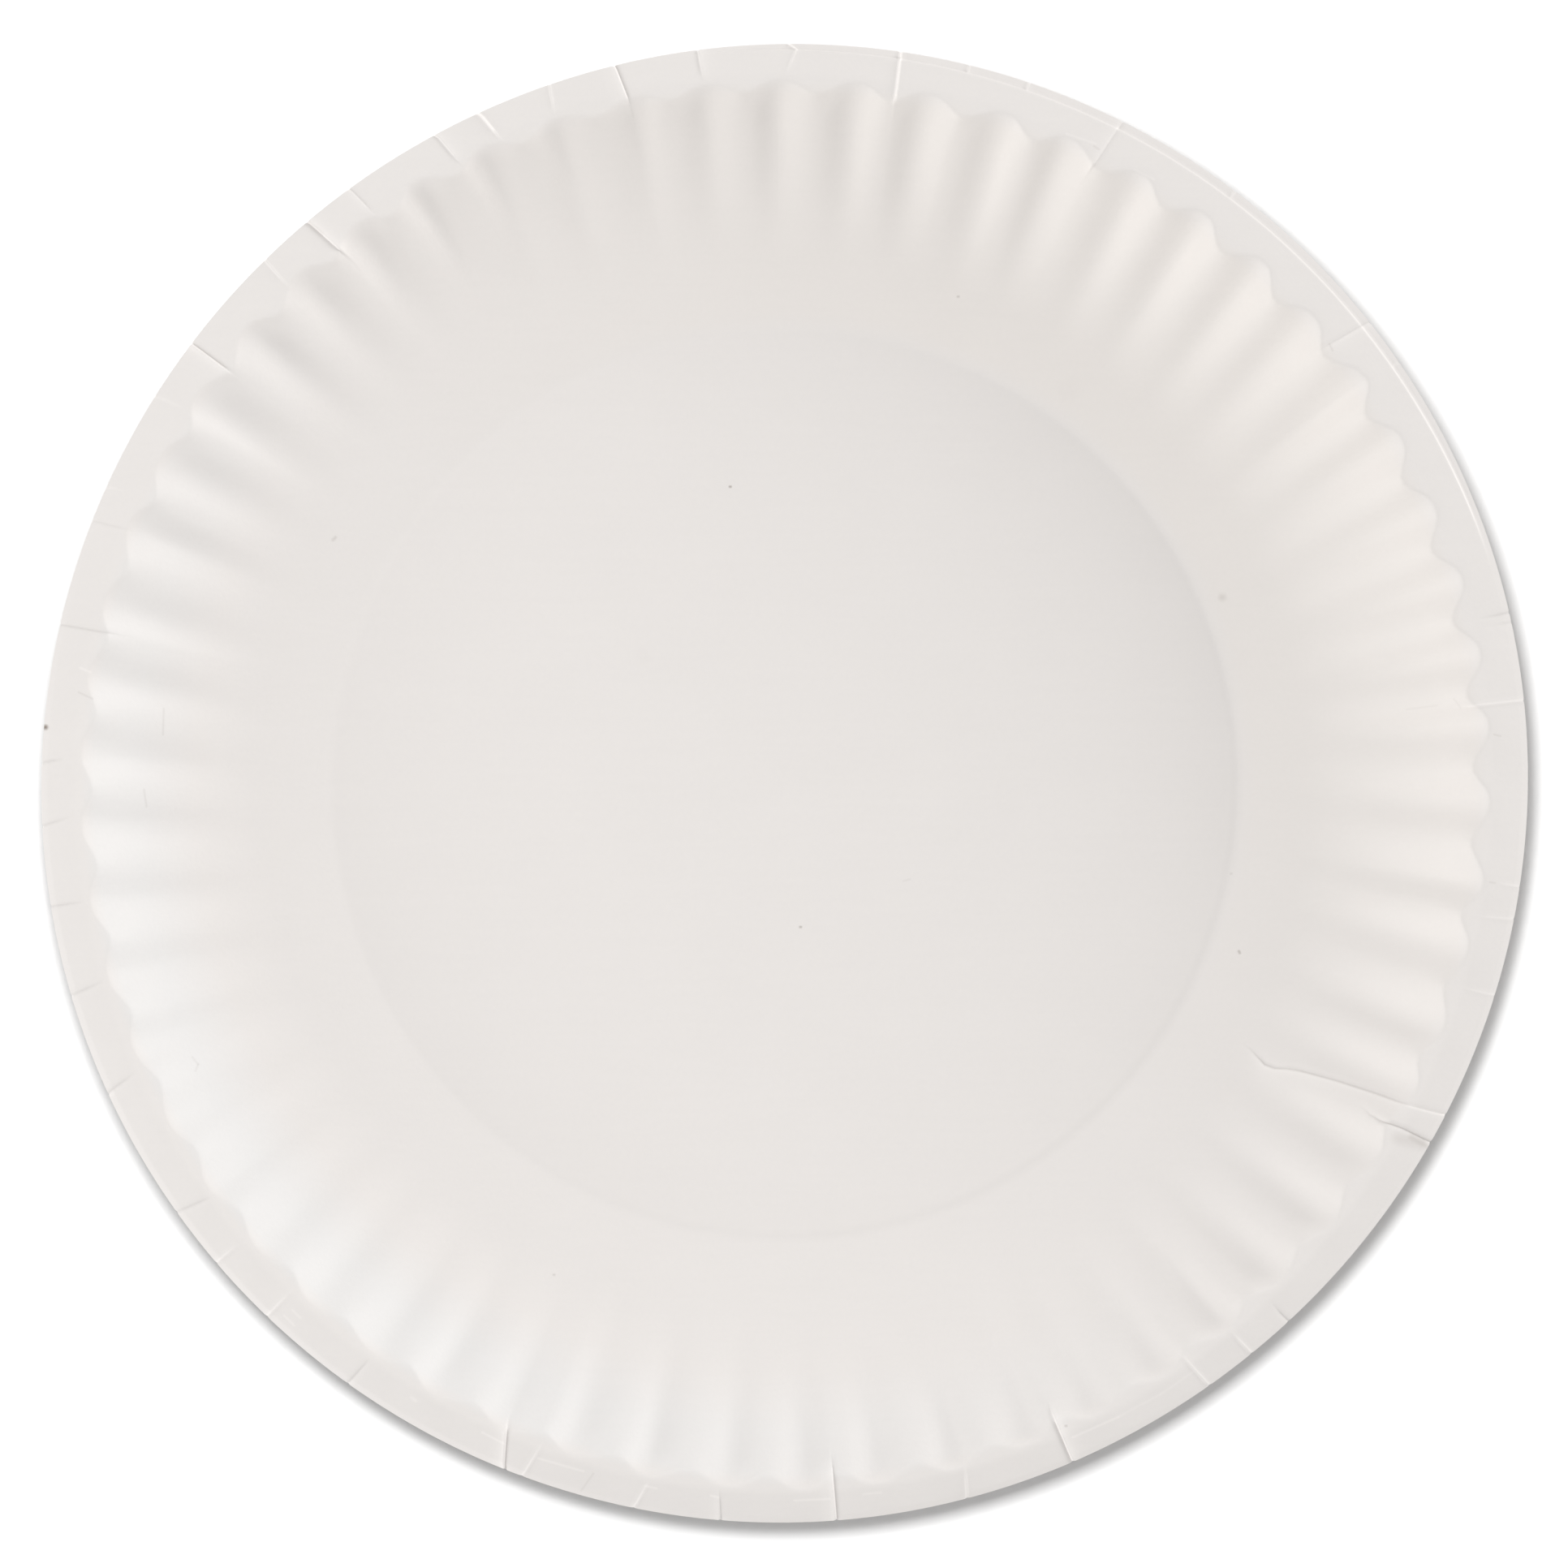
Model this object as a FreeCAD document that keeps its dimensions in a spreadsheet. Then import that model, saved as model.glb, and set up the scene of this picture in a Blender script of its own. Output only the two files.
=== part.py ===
import FreeCAD, Part
import math
import os

from FreeCAD import Vector

# A round paper plate, pressed from one sheet. The rest face is the flat base
# at Z = 0 and the middle of the base is the origin. All sizes are millimetres
# and degrees.
DRIVING_SIZES = {
    # the whole plate
    "plate_diameter": 228.6,
    "overall_height": 16.0,
    "sheet_thickness": 0.3,
    # the flat base, out to the fold line where the side starts
    "base_diameter": 140.4,
    # the plain slope between the fold line and the flutes
    "slope_width": 10.8,
    "slope_angle": 11.0,
    # the fluted side wall
    "flute_count": 58,
    "first_hollow_angle": 3.9,
    "flute_depth": 1.3,
    "flute_run_in": 15.0,
    # the flat brim, from the outer ends of the flutes to the plate's edge
    "brim_width": 5.4,
}

# The curved wall is pressed in this many straight bands from the slope to the brim.
WALL_BANDS = 3
SEAM_TOLERANCE = 1e-4


def make_size_sheet(document):
    """Writes the driving sizes to a sheet, each under its own name."""
    sheet = document.addObject("Spreadsheet::Sheet", "sizes")
    for row, (name, value) in enumerate(DRIVING_SIZES.items(), start=1):
        sheet.set(f"A{row}", name)
        sheet.set(f"B{row}", str(value))
        sheet.setAlias(f"B{row}", name)
    document.recompute()
    return sheet


# The section: a line of levels from the fold line up to the brim


def growth(distance, run):
    """Share of the full flute depth at a distance into the flutes: a smooth rise from 0 to 1."""
    share = min(distance / run, 1.0)
    return share * share * (3.0 - 2.0 * share)


def top_levels(sheet):
    """Levels of the upper face as (mean radius, height, flute depth), from the fold line to the brim.

    The wall follows one arc that leaves the plain slope smoothly and ends at the brim.
    """
    fold_radius = sheet.base_diameter / 2
    slope = math.radians(sheet.slope_angle)
    start_radius = fold_radius + sheet.slope_width
    start_height = sheet.sheet_thickness + sheet.slope_width * math.tan(slope)
    end_radius = sheet.plate_diameter / 2 - sheet.brim_width - sheet.flute_depth / 2

    across = end_radius - start_radius
    rise = sheet.overall_height - start_height
    half_turn = math.atan2(rise, across) - slope
    arc_radius = math.hypot(across, rise) / (2 * math.sin(half_turn))

    levels = [(fold_radius, sheet.sheet_thickness, 0.0)]
    for band in range(WALL_BANDS + 1):
        tilt = slope + 2 * half_turn * band / WALL_BANDS
        radius = start_radius + arc_radius * (math.sin(tilt) - math.sin(slope))
        height = start_height + arc_radius * (math.cos(slope) - math.cos(tilt))
        depth = sheet.flute_depth * growth(radius - start_radius, sheet.flute_run_in)
        levels.append((radius, height, depth))
    return levels


def under_levels(levels, thickness):
    """The same levels on the lower face, one sheet thickness below, mitred where the section bends."""
    tilts = [0.0]
    for (radius, height, _), (next_radius, next_height, _) in zip(levels, levels[1:]):
        tilts.append(math.atan2(next_height - height, next_radius - radius))
    tilts.append(0.0)

    lowered = []
    for (radius, height, depth), below, above in zip(levels, tilts, tilts[1:]):
        reach = thickness / math.cos((above - below) / 2)
        mitre = (below + above) / 2
        lowered.append((radius + reach * math.sin(mitre), height - reach * math.cos(mitre), depth))
    return lowered


# The flutes: hollows and ridges that follow one another as tangent arcs


def join_radius(mean_radius, depth, half_flute):
    """Radius where a hollow's arc runs into a ridge's arc, midway between their crowns, with one tangent."""
    quarter = half_flute / 2
    half_chord = mean_radius * math.sin(quarter)
    steepness = depth / 2 / half_chord
    turn_share = half_chord * (1 + steepness * steepness) * quarter / 2
    return (mean_radius - turn_share) / math.cos(quarter)


def level_arcs(level, sheet):
    """The closed line of one level: an arc for each hollow and an arc for each ridge, in turn."""
    mean_radius, height, depth = level
    flute_count = int(sheet.flute_count)
    half_flute = math.pi / flute_count
    first_angle = math.radians(sheet.first_hollow_angle)
    joining = join_radius(mean_radius, depth, half_flute)

    def place(radius, angle):
        return Vector(radius * math.cos(angle), radius * math.sin(angle), height)

    arcs = []
    for crown in range(2 * flute_count):
        hollow = crown % 2 == 0
        crown_radius = mean_radius + (depth / 2 if hollow else -depth / 2)
        angle = first_angle + crown * half_flute
        start = place(joining, angle - half_flute / 2)
        middle = place(crown_radius, angle)
        end = place(joining, angle + half_flute / 2)
        arcs.append(Part.Arc(start, middle, end).toShape())
    return arcs


def make_form(levels, sheet):
    """The solid that the levels enclose, closed with a flat face at the lowest and highest level."""
    lines = [level_arcs(level, sheet) for level in levels]
    faces = [Part.Face(Part.Wire(lines[0])), Part.Face(Part.Wire(lines[-1]))]
    for lower_line, upper_line in zip(lines, lines[1:]):
        for lower_arc, upper_arc in zip(lower_line, upper_line):
            faces.append(Part.makeRuledSurface(lower_arc, upper_arc))
    skin = Part.makeCompound(faces)
    skin.sewShape(SEAM_TOLERANCE)
    form = Part.Solid(skin.Shells[0])
    if form.Volume < 0:
        form.reverse()
    return form


# The plate: a flat blank pressed between an outer and an inner form


def add_form(document, name, levels, sheet):
    """Keeps one pressing form as an object of the document, standing on the origin."""
    form = document.addObject("Part::Feature", name)
    form.Label = name
    form.Shape = make_form(levels, sheet)
    form.Placement = FreeCAD.Placement(Vector(0, 0, 0), FreeCAD.Rotation())
    return form


def make_plate(document, sheet):
    """One sheet: the brim's flat disc joined to the outer form, hollowed by the inner form."""
    inner_levels = top_levels(sheet)
    outer_levels = under_levels(inner_levels, sheet.sheet_thickness)

    brim_disc = document.addObject("Part::Cylinder", "brim_disc")
    brim_disc.Label = "brim_disc"
    brim_disc.setExpression("Radius", "sizes.plate_diameter / 2")
    brim_disc.setExpression("Height", "sizes.sheet_thickness")
    brim_disc.setExpression("Placement.Base.z", "sizes.overall_height - sizes.sheet_thickness")

    outer_form = add_form(document, "outer_form", outer_levels, sheet)
    inner_form = add_form(document, "inner_form", inner_levels, sheet)

    pressed_blank = document.addObject("Part::Fuse", "pressed_blank")
    pressed_blank.Base = brim_disc
    pressed_blank.Tool = outer_form

    plate = document.addObject("Part::Cut", "plate")
    plate.Label = "plate"
    plate.Base = pressed_blank
    plate.Tool = inner_form
    return plate


def check_document(document, parts):
    """Stops if any object failed or a part is not one valid solid."""
    for item in document.Objects:
        if "Invalid" in item.State or "Error" in item.State:
            raise RuntimeError(f"{item.Name} failed: {item.State}")
    for part in parts:
        shape = part.Shape
        if shape.isNull() or not shape.isValid() or len(shape.Solids) != 1:
            raise RuntimeError(f"{part.Label} is not one valid solid")


def write_parts(parts):
    """Writes each part to its own STEP file, named by its label."""
    os.makedirs("parts", exist_ok=True)
    for part in parts:
        part.Shape.exportStep(os.path.join("parts", f"{part.Label}.step"))
        box = part.Shape.BoundBox
        print(
            f"{part.Label}: {box.XLength:.2f} x {box.YLength:.2f} x {box.ZLength:.2f} mm, "
            f"{part.Shape.Volume:.0f} mm3, {len(part.Shape.Faces)} faces"
        )


document = FreeCAD.newDocument("paper_plate")
size_sheet = make_size_sheet(document)
plate = make_plate(document, size_sheet)
document.recompute()
check_document(document, [plate])
write_parts([plate])
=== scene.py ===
"""A pressed white paper plate that lies on a pale floor, seen from straight above.

Sizes are millimetres and angles are degrees, counter-clockwise from the photo's right,
unless a name says otherwise. The plate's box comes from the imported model.
"""

import logging
import math
from dataclasses import dataclass
from enum import Enum

import bpy
import numpy as np
from bpy.types import Material, Mesh, Node, NodeSocket, NodeTree, Object
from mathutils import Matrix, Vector

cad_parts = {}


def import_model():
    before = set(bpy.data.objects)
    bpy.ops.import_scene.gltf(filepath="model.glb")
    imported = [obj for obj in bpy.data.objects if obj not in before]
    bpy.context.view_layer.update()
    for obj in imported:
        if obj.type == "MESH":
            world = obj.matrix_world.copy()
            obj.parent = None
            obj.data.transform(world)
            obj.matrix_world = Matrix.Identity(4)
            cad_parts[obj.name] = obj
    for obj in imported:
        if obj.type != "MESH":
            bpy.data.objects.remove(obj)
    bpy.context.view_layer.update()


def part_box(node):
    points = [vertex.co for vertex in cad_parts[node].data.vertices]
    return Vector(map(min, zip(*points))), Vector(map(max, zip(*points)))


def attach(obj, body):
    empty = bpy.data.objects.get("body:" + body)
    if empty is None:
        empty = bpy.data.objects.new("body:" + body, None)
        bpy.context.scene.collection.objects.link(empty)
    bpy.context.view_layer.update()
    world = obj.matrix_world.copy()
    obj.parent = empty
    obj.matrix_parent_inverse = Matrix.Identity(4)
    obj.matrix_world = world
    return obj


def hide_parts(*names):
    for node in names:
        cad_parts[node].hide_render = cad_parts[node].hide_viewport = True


MM = 0.001
# The crease heights, kept on the plate for painted light on raised folds and painted shade in slits
CREASE_PAINTED_LIGHT = "crease_painted_light"

Array = np.ndarray
# Bumps or stretches round the plate: the middle angle, width and height of each
Bumps = tuple[tuple[float, float, float], ...]
# What a node's input takes: a plain value, or the output that it is joined to
Given = float | tuple[float, ...] | NodeSocket

log = logging.getLogger("paper_plate")


# The photo's own frame


@dataclass(frozen=True)
class PhotoFrame:
    """Where the photo shows the plate, so that a mark seen in it finds its place on the plate."""

    side_pixels: float = 1932.0
    centre_pixel: float = 965.5
    mm_per_pixel: float = 0.1252

    def place(self, pixel_x: float, pixel_y: float) -> tuple[float, float]:
        """Gives the x and y on the plate, in millimetres, of a pixel counted from the photo's top left."""
        scale = self.mm_per_pixel
        return (pixel_x - self.centre_pixel) * scale, (self.centre_pixel - pixel_y) * scale

    def width(self) -> float:
        """Gives the width that the photo covers at the brim, in millimetres."""
        return self.side_pixels * self.mm_per_pixel


# Small curves that the pressing uses


def smooth_rise(share: Array) -> Array:
    """Rises smoothly from 0 to 1 while the share goes from 0 to 1, and stays level outside."""
    held = np.clip(share, 0.0, 1.0)
    return held * held * (3.0 - 2.0 * held)


def soft_corner(distance: Array, rounding: float) -> Array:
    """Gives the distance past a corner, 0 before it, with the corner rounded."""
    return 0.5 * (distance + np.sqrt(distance * distance + rounding * rounding))


def angle_between(angles: Array, centre: float) -> Array:
    """Gives the angles from a centre angle, between -180 and 180 degrees."""
    return (angles - centre + 180.0) % 360.0 - 180.0


def bell(distance: Array, width: float) -> Array:
    """Gives a smooth bump that is 1 at the middle and fades over the width."""
    return np.exp(-((distance / width) ** 2))


def added_bumps(angles: Array, bumps: Bumps) -> Array:
    """Adds up smooth bumps round the plate.

    Args:
        angles: angles round the plate.
        bumps: the bumps.

    Returns:
        The sum of the bumps at each angle.
    """
    total = np.zeros_like(angles)
    for middle, width, height in bumps:
        total += height * bell(angle_between(angles, middle), width)
    return total


# The pleat creases that the press leaves in the brim


class CreaseKind(Enum):
    """How the sheet is folded along one crease."""

    RIDGE = "a thin raised fold"
    GROOVE = "a thin slit"
    LAP_FORWARD = "a lap whose raised side is the counter-clockwise one"
    LAP_BACK = "a lap whose raised side is the clockwise one"


# Short names for the kinds
RIDGE, GROOVE, LAP_FORWARD, LAP_BACK = CreaseKind

# A lap's section, in half fold widths: its raised side settles slowly, and a groove runs beside it
LAP_SETTLING = 4.0
LAP_GROOVE_DEPTH = 0.7
LAP_GROOVE_OFFSET = 1.2
LAP_GROOVE_WIDTH = 0.8

# How high a crease stands, in millimetres
STRONG = 0.25
CLEAR = 0.16
FAINT = 0.08


@dataclass(frozen=True)
class Crease:
    """One crease that runs inwards from the plate's edge."""

    height: float
    kind: CreaseKind
    edge_angle: float
    inner_angle: float
    inner_radius: float
    bends: tuple[tuple[float, float], ...] = ()

    def angle_at(self, radius: Array, edge_radius: float) -> Array:
        """Follows the crease from the edge to its inner end.

        Args:
            radius: distances from the plate's middle.
            edge_radius: the distance at which the crease starts.

        Returns:
            The crease's angle at each distance.
        """
        ends = ((edge_radius, self.edge_angle), (self.inner_radius, self.inner_angle))
        radii, angles = zip(*sorted((*ends, *self.bends)))
        return np.interp(radius, radii, angles)

    def profile(self, across: Array, width: float) -> Array:
        """Gives the folded shape across the crease.

        Args:
            across: millimetres from the crease's line, counter-clockwise.
            width: half the width of the fold.

        Returns:
            The share of the crease's height, negative in a slit.
        """
        if self.kind is RIDGE:
            return bell(across, width)
        if self.kind is GROOVE:
            return -bell(across, width)
        side = 1.0 if self.kind is LAP_FORWARD else -1.0
        beyond = side * across / width
        raised = smooth_rise(0.5 + beyond) * np.exp(-np.maximum(beyond, 0.0) / LAP_SETTLING)
        return raised - LAP_GROOVE_DEPTH * bell(beyond + LAP_GROOVE_OFFSET, LAP_GROOVE_WIDTH)


# The creases that wander between the edge and their inner end, as (distance from the middle, angle)
LONG_TEAR_BENDS = ((107.8, 332.7), (102.6, 332.3), (97.3, 331.7), (90.8, 330.7), (87.2, 329.5))
SHORT_TEAR_BENDS = ((109.7, 330.9), (105.2, 330.4), (97.0, 329.9), (87.2, 328.0), (83.0, 328.8))
TOP_BEND = ((113.2, 89.0),)

# The creases of each height and kind: angle at the edge, angle at the inner end, radius of the
# inner end, and the bends of those that wander
CREASE_PLACES = {
    (STRONG, RIDGE): ((80.9, 80.7, 105.5), (114.5, 113.6, 107.5)),
    (STRONG, GROOVE): ((331.0, 331.0, 103.6, SHORT_TEAR_BENDS),),
    (STRONG, LAP_FORWARD): ((103.3, 102.7, 105.5), (143.4, 143.4, 106.0), (293.1, 293.1, 104.7)),
    (STRONG, LAP_BACK): ((130.3, 129.5, 105.0), (247.9, 246.4, 105.5), (274.1, 274.0, 104.2)),
    (CLEAR, RIDGE): (
        (6.4, 6.4, 104.7), (52.7, 52.7, 112.8), (70.7, 70.7, 112.8), (75.5, 75.5, 112.8),
        (89.6, 89.9, 108.4, TOP_BEND), (108.5, 108.9, 108.0), (134.7, 134.9, 107.0),
        (220.2, 220.2, 109.5), (225.9, 225.9, 108.5), (249.3, 250.0, 108.3), (258.3, 259.2, 108.0),
        (284.4, 284.9, 107.5), (305.3, 304.8, 107.0), (309.4, 309.2, 108.0),
    ),
    (CLEAR, GROOVE): (
        (13.25, 13.25, 110.5), (167.6, 167.4, 105.0), (178.4, 178.0, 110.0), (183.3, 182.7, 109.3),
        (189.5, 189.6, 108.0), (196.6, 196.2, 108.0), (204.7, 204.0, 109.0), (215.2, 215.9, 107.5),
        (234.0, 234.3, 108.0), (313.2, 313.2, 110.0),
    ),
    (CLEAR, LAP_FORWARD): ((62.9, 63.6, 105.0), (126.2, 125.7, 107.5)),
    (CLEAR, LAP_BACK): (
        (38.2, 39.0, 106.8), (96.7, 96.5, 108.0), (118.3, 117.4, 107.5), (265.1, 264.7, 108.1),
        (333.4, 330.4, 83.1, LONG_TEAR_BENDS),
    ),
    (FAINT, RIDGE): (
        (34.4, 34.4, 112.0), (148.4, 147.9, 108.5), (156.4, 156.1, 111.5), (343.4, 343.2, 109.5),
        (349.5, 349.1, 109.0), (352.0, 352.0, 110.0),
    ),
    (FAINT, GROOVE): ((12.5, 12.5, 111.5), (159.2, 158.8, 106.5)),
}
CREASES = tuple(
    Crease(height, kind, *place)
    for (height, kind), places in CREASE_PLACES.items()
    for place in places
)


# The plate


@dataclass(frozen=True)
class PlateSection:
    """The section of the pressed sheet, from the middle of the base to the edge."""

    edge_radius: float
    overall_height: float
    sheet_thickness: float = 0.3
    fold_radius: float = 70.2
    slope_width: float = 10.8
    slope_angle: float = 11.0
    flute_lead: float = 3.5
    flute_depth: float = 2.05
    flute_run_in: float = 22.0
    shoulder_depth: float = 2.4
    shoulder_run_out: float = 4.0
    brim_width: float = 5.4
    fold_rounding: float = 0.35
    shoulder_rounding: float = 0.42
    steepness_step: float = 0.1

    def wall_start(self) -> float:
        """Gives the radius where the plain slope ends and the wall's arc begins."""
        return self.fold_radius + self.slope_width

    def wall_end(self) -> float:
        """Gives the mean radius of the shoulder, where the wall meets the brim."""
        return self.edge_radius - self.brim_width - self.shoulder_depth / 2

    def wall_height(self, radius: Array) -> Array:
        """Gives the height of the slope and of the arc that leaves it and ends at the shoulder.

        Args:
            radius: mean radii, from the fold line outwards.

        Returns:
            The heights of the upper face, with the arc's last tangent going on past the shoulder.
        """
        slope = math.radians(self.slope_angle)
        start = self.wall_start()
        start_height = self.sheet_thickness + self.slope_width * math.tan(slope)
        across = self.wall_end() - start
        rise = self.overall_height - start_height
        half_turn = math.atan2(rise, across) - slope
        arc_radius = math.hypot(across, rise) / (2 * math.sin(half_turn))

        on_arc = np.clip(radius - start, 0.0, across)
        tilt = np.arcsin(math.sin(slope) + on_arc / arc_radius)
        before = soft_corner(np.minimum(radius, start) - self.fold_radius, self.fold_rounding)
        past = np.maximum(radius - self.wall_end(), 0.0)
        plain = self.sheet_thickness + before * math.tan(slope)
        return plain + arc_radius * (math.cos(slope) - np.cos(tilt)) + past * np.tan(tilt)

    def height(self, radius: Array) -> Array:
        """Gives the height of the upper face all the way out, over the rounded shoulder."""
        below_brim = self.overall_height - self.wall_height(radius)
        return self.overall_height - soft_corner(below_brim, self.shoulder_rounding)

    def steepness(self, radius: Array) -> Array:
        """Gives the rise of the section for each millimetre outwards."""
        step = self.steepness_step
        return (self.height(radius + step) - self.height(radius - step)) / (2 * step)

    def growth(self, radius: Array) -> Array:
        """Gives the share of the full flute depth that is reached going outwards."""
        past_start = radius - self.wall_start() + self.flute_lead
        return smooth_rise(past_start / self.flute_run_in)

    def depth(self, radius: Array) -> Array:
        """Gives how deep the flutes are.

        Args:
            radius: mean radii from the plate's middle.

        Returns:
            The distance outwards from a ridge to a hollow, in millimetres.
        """
        near_shoulder = smooth_rise((radius - self.wall_end()) / self.shoulder_run_out + 1.0)
        lost = (self.flute_depth - self.shoulder_depth) * near_shoulder
        return self.flute_depth * self.growth(radius) - lost

    def brim_share(self, radius: Array) -> Array:
        """Gives how far across the brim a radius lies: 0 at the shoulder, 1 at the edge."""
        return np.clip((radius - self.wall_end()) / (self.edge_radius - self.wall_end()), 0.0, 1.0)


@dataclass(frozen=True)
class Flutes:
    """The row of flutes pressed into the wall, no two quite alike.

    A deepening's height is the share added to the depth, and a slant's is the degrees that the
    flutes turn by for each millimetre inwards.
    """

    count: int = 58
    first_hollow_angle: float = 4.06
    inner_sharpness: float = 3.4
    outer_sharpness: float = 2.5
    end_breadth: float = 2.7
    end_run: float = 3.2
    depth_spread: float = 0.16
    place_spread: float = 0.175
    drift: float = 0.65
    drift_angle: float = 300.0
    deepenings: Bumps = (
        (25.0, 45.0, 0.28),
        (92.0, 26.0, -0.15),
        (102.0, 14.0, -0.33),
        (175.0, 24.0, -0.27),
        (212.0, 18.0, -0.15),
        (243.0, 32.0, -0.3),
        (301.0, 10.0, -0.15),
        (328.0, 28.0, -0.34),
    )
    slants: Bumps = (
        (42.0, 26.0, 0.045),
        (102.0, 12.0, -0.03),
        (187.0, 24.0, -0.05),
        (311.0, 18.0, 0.045),
    )
    slant_pivot: float = 5.5
    seed: int = 7

    def wave(self, angles: Array, grown: Array, to_end: Array) -> Array:
        """Gives how far out the sheet is pushed: 1 in a hollow's middle, -1 on a ridge.

        Args:
            angles: angles round the plate.
            grown: share of the full flute depth there, from 0 to 1.
            to_end: millimetres from there to the flutes' outer ends, which are rounder.

        Returns:
            The share of half a flute's depth, outwards.
        """
        random = np.random.default_rng(self.seed)
        deepened = self.depth_spread * random.uniform(-1.0, 1.0, self.count)
        shifted = self.place_spread * random.uniform(-1.0, 1.0, self.count)
        pitch = 360.0 / self.count
        drifted = self.drift * np.cos(np.radians(angles - self.drift_angle))
        drifted -= (to_end - self.slant_pivot) * added_bumps(angles, self.slants)
        index = (angles - self.first_hollow_angle - drifted) / pitch
        nearest = np.round(index)
        which = nearest.astype(int) % self.count
        turn = (index - nearest) * math.pi
        turn = turn - shifted[which] * np.cos(turn) ** 2
        sharpness = self.inner_sharpness + (self.outer_sharpness - self.inner_sharpness) * grown
        narrow = np.abs(np.cos(turn)) ** sharpness
        broad = 1.0 - np.abs(np.sin(turn)) ** self.end_breadth
        push = narrow + (broad - narrow) * smooth_rise(1.0 - to_end / self.end_run)
        kept = 1.0 + added_bumps(angles, self.deepenings)
        return (2.0 * push - 1.0) * (1.0 + deepened[which] * push) * kept


@dataclass(frozen=True)
class Outline:
    """The plate's edge seen from above: slightly oval, with a few swells."""

    oval: float = 0.75
    long_axis_angle: float = 21.0
    swells: Bumps = (
        (78.0, 38.0, 0.45),
        (195.0, 65.0, -0.34),
        (275.0, 30.0, 0.42),
    )

    def shift(self, angles: Array) -> Array:
        """Gives how far the edge stands outside a true circle, in millimetres."""
        oval = self.oval * np.cos(2 * np.radians(angles - self.long_axis_angle))
        return oval + added_bumps(angles, self.swells)


@dataclass(frozen=True)
class TurnedEdge:
    """The stretch of the brim whose outermost strip is pressed down along a fine line."""

    middle_angle: float = 57.5
    half_length: float = 37.5
    run_out: float = 7.0
    strip_width: float = 1.4
    strip_narrowing: float = 0.55
    drop: float = 0.22
    drop_length: float = 0.3
    bead: float = 0.018
    bead_width: float = 0.35

    def off_middle(self, angles: Array) -> Array:
        """Gives the degrees from the middle of the stretch."""
        return np.abs(angle_between(angles, self.middle_angle))

    def presence(self, angles: Array) -> Array:
        """Gives 1 along the turned stretch, fading to 0 past its ends."""
        past = self.off_middle(angles) - self.half_length
        return 1.0 - smooth_rise(past / self.run_out + 0.5)

    def width(self, angles: Array) -> Array:
        """Gives the strip's width, which is less towards the ends of the stretch."""
        share = np.clip(self.off_middle(angles) / self.half_length, 0.0, 1.0)
        return self.strip_width - self.strip_narrowing * share**3

    def height(self, past_line: Array, angles: Array) -> Array:
        """Gives the heights to add to the brim at distances outwards from the line."""
        bead = self.bead * bell(past_line + self.bead_width / 2, self.bead_width)
        return (bead - self.drop * smooth_rise(past_line / self.drop_length)) * self.presence(angles)


@dataclass(frozen=True)
class BrimDroop:
    """How the brim curls down from the shoulder to the edge, most at the bottom."""

    edge_drop: float = 0.85
    uneven_drop: float = 0.65
    lowest_angle: float = 266.0
    curl: float = 0.4

    def fall(self, share: Array, angles: Array) -> Array:
        """Gives the fall below the shoulder, in millimetres, at each share of the brim's width."""
        at_edge = self.edge_drop + self.uneven_drop * np.cos(np.radians(angles - self.lowest_angle))
        return at_edge * share * (1.0 - self.curl + self.curl * share)


@dataclass(frozen=True)
class BrimWaves:
    """The slow unevenness of the brim, from a few seeded waves."""

    height: float = 0.05
    smallest_share: float = 0.3
    fewest: int = 5
    most: int = 26
    seed: int = 23

    def lift(self, angles: Array) -> Array:
        """Gives how far the edge is lifted.

        Args:
            angles: angles round the plate.

        Returns:
            The lift in millimetres.
        """
        random = np.random.default_rng(self.seed)
        total = np.zeros_like(angles)
        for wave in range(self.fewest, self.most):
            phase = random.uniform(0.0, 2.0 * math.pi)
            size = random.uniform(self.smallest_share, 1.0)
            total += size * np.cos(np.radians(angles) * wave + phase)
        return self.height * total / math.sqrt(self.most - self.fewest)


def vertex_places(mesh: Mesh) -> Array:
    """Gives the places of a mesh's vertices, in millimetres, a row for each.

    Args:
        mesh: the mesh.

    Returns:
        The places.
    """
    places = np.zeros(len(mesh.vertices) * 3)
    mesh.vertices.foreach_get("co", places)
    return places.reshape(-1, 3) / MM


def move_vertices(mesh: Mesh, places: Array) -> None:
    """Moves a mesh's vertices to places in millimetres."""
    mesh.vertices.foreach_set("co", (places * MM).ravel())
    mesh.update()


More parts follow.
